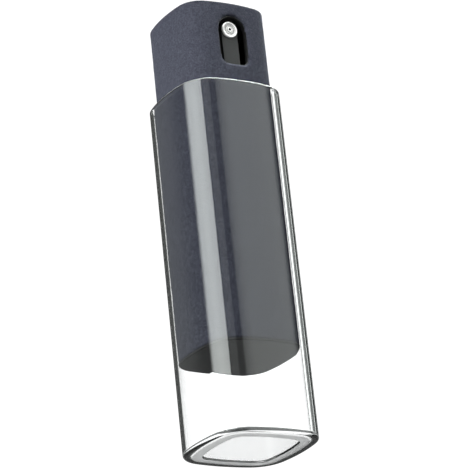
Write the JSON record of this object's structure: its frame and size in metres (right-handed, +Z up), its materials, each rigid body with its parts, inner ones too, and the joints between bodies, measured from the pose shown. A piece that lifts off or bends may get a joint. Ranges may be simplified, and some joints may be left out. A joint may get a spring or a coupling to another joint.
{
  "type": "lens cleaning spray",
  "caption": "Slim pocket mist spray: a cloth-wrapped square case with a press-down button and a slotted side nozzle, part way out of a clear slide-on cover.",
  "frame": {"origin": "middle of the clear cover's underside, on the surface it stands on", "axes": "+Z up the common axis of cover, case and pump; the nozzle faces -Y"},
  "size_m": [0.03, 0.03, 0.1164],
  "materials": {
    "clear_plastic": "gloss",
    "microfibre": "matte",
    "case_plastic": "satin",
    "plug_plastic": "satin",
    "button_plastic": "satin",
    "nozzle_plastic": "gloss",
    "pump_plastic": "satin",
    "collar_plastic": "satin",
    "seal_rubber": "matte",
    "steel": "satin",
    "bottle_plastic": "satin",
    "tube_plastic": "satin",
    "fluid": "gloss"
  },
  "bodies": {
    "cover": {"cover_sleeve": "clear_plastic"},
    "case": {"case_shell": "case_plastic", "microfibre_wrap": "microfibre", "base_plug": "plug_plastic", "pump_plate": "case_plastic", "turret": "pump_plastic", "stem_gasket": "seal_rubber", "screw_collar": "collar_plastic", "pump_housing": "pump_plastic", "pump_spring": "steel", "neck_gasket": "seal_rubber", "refill_bottle": "bottle_plastic", "dip_tube": "tube_plastic", "cleaning_fluid": "fluid"},
    "actuator": {"push_button": "button_plastic", "nozzle_insert": "nozzle_plastic", "swirl_post": "nozzle_plastic", "pump_stem": "pump_plastic", "piston": "pump_plastic", "valve_core": "seal_rubber"},
    "ball": {"inlet_ball": "steel"}
  },
  "joints": [
    {"name": "case_slide", "type": "slide", "parent": "cover", "child": "case", "axis": [0, 0, 1], "range_m": [-0.0223, 0.07]},
    {"name": "button_press", "type": "slide", "parent": "case", "child": "actuator", "axis": [0, 0, -1], "range_m": [0, 0.0045], "stiffness_N_per_m": 800, "springref_m": -0.0025, "deforming": ["pump_spring"]},
    {"name": "ball_lift", "type": "slide", "parent": "case", "child": "ball", "axis": [0, 0, 1], "range_m": [0, 0.0012]}
  ]
}
